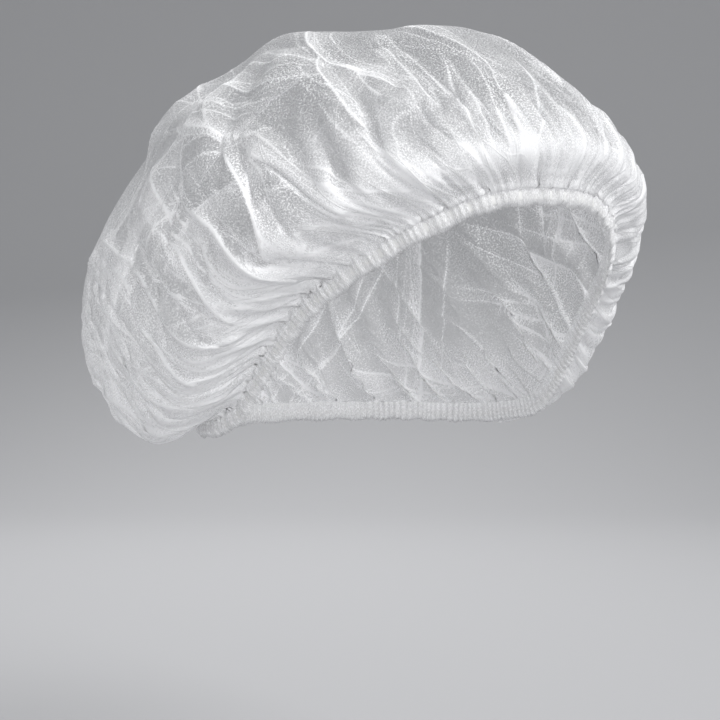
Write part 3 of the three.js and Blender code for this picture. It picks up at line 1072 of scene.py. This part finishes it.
crown = makeCrown(crownCloth, pressedFolds)
crown.data.materials.append(sheerCloth(sheerFinish, "sheerNonwoven"))
hem = makeHem(hemBand)
hem.data.materials.append(sheerCloth(hemFinish, "doubledNonwoven", folded=False))
elastic = makeElastic(elasticBand)
elastic.data.materials.append(plainFinish(elasticFinish, "elasticRubber"))
print("pieces made")

for piece, node, slotName in (
    (crown, "crown", "sheer_nonwoven"),
    (hem, "gathered_hem", "doubled_nonwoven"),
    (elastic, "elastic", "elastic_band"),
):
    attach(piece, "root")
    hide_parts(node)

# A pale sweep: a floor that curves up into a wall by a quarter circle, far behind the cap.
sweep = {
    "floor": -0.24,
    "front": -2.0,
    "wall": 1.9,
    "curve": 0.8,
    "curvePoints": 24,
    "height": 2.6,
    "half": 3.5,
    "turn": -35,
}


def makeSweep(size):
    bendAngles = np.linspace(0, np.pi / 2, size["curvePoints"])
    across = size["wall"] - size["curve"] + size["curve"] * np.sin(bendAngles)
    height = size["floor"] + size["curve"] * (1 - np.cos(bendAngles))
    start = [[size["front"], size["floor"]]]
    end = [[size["wall"], size["height"]]]
    path = np.concatenate([start, np.stack([across, height], -1), end])
    points = np.array([[x, y, z] for y, z in path for x in (-size["half"], size["half"])])
    faces = gridFaces(len(path), 2)
    piece = newMesh("paleSweep", points, faces[:, ::-1], np.zeros((len(points), 2)))
    piece.rotation_euler = (0, 0, math.radians(size["turn"]))
    return piece


floor = makeSweep(sweep)
floor.data.materials.append(plainFinish(paperFinish, "palePaper"))

# The camera: degrees, metres, and millimetres for its lens and sensor. It looks past the cap's
# middle by across and height.
camera = {
    "azimuth": -35,
    "elevation": 2,
    "distance": 0.6,
    "across": -0.0145,
    "height": -0.010,
    "lens": 70.5,
    "sensor": 36,
    "nearest": 0.01,
}


def makeCamera(size):
    azimuth, elevation = math.radians(size["azimuth"]), math.radians(size["elevation"])
    back = Vector((
        math.sin(azimuth) * math.cos(elevation),
        -math.cos(azimuth) * math.cos(elevation),
        math.sin(elevation),
    ))
    right = Vector((math.cos(azimuth), math.sin(azimuth), 0))
    data = bpy.data.cameras.new("camera")
    data.lens = size["lens"]
    data.sensor_width = size["sensor"]
    data.clip_start = size["nearest"]
    rig = bpy.data.objects.new("camera", data)
    rig.location = right * size["across"] + Vector((0, 0, size["height"])) + back * size["distance"]
    rig.rotation_euler = back.to_track_quat("Z", "Y").to_euler()
    bpy.context.scene.collection.objects.link(rig)
    bpy.context.scene.camera = rig


makeCamera(camera)

# Three soft lights that face the cap's middle, and the pale light all round.
lights = {
    "key": {"place": (0.35, -1.1, 1.0), "power": 15, "size": 0.6},
    "fill": {"place": (-0.9, -1.1, 0.0), "power": 9, "size": 1.0},
    "rim": {"place": (0.5, 1.0, 0.9), "power": 14, "size": 0.7},
}
capMiddle = Vector((0, 0, 0.05))
surroundings = {"colour": (0.96, 0.98, 1, 1), "strength": 0.5}


def softLight(name, light):
    data = bpy.data.lights.new(name, "AREA")
    data.energy = light["power"]
    data.size = light["size"]
    rig = bpy.data.objects.new(name, data)
    rig.location = light["place"]
    rig.rotation_euler = (Vector(light["place"]) - capMiddle).to_track_quat("Z", "Y").to_euler()
    bpy.context.scene.collection.objects.link(rig)


for name, light in lights.items():
    softLight(name, light)
world = bpy.data.worlds.new("studio")
world.use_nodes = True
background = world.node_tree.nodes["Background"].inputs
background["Color"].default_value = surroundings["colour"]
background["Strength"].default_value = surroundings["strength"]
bpy.context.scene.world = world
bpy.context.scene.view_settings.view_transform = "Standard"
print("stage set")
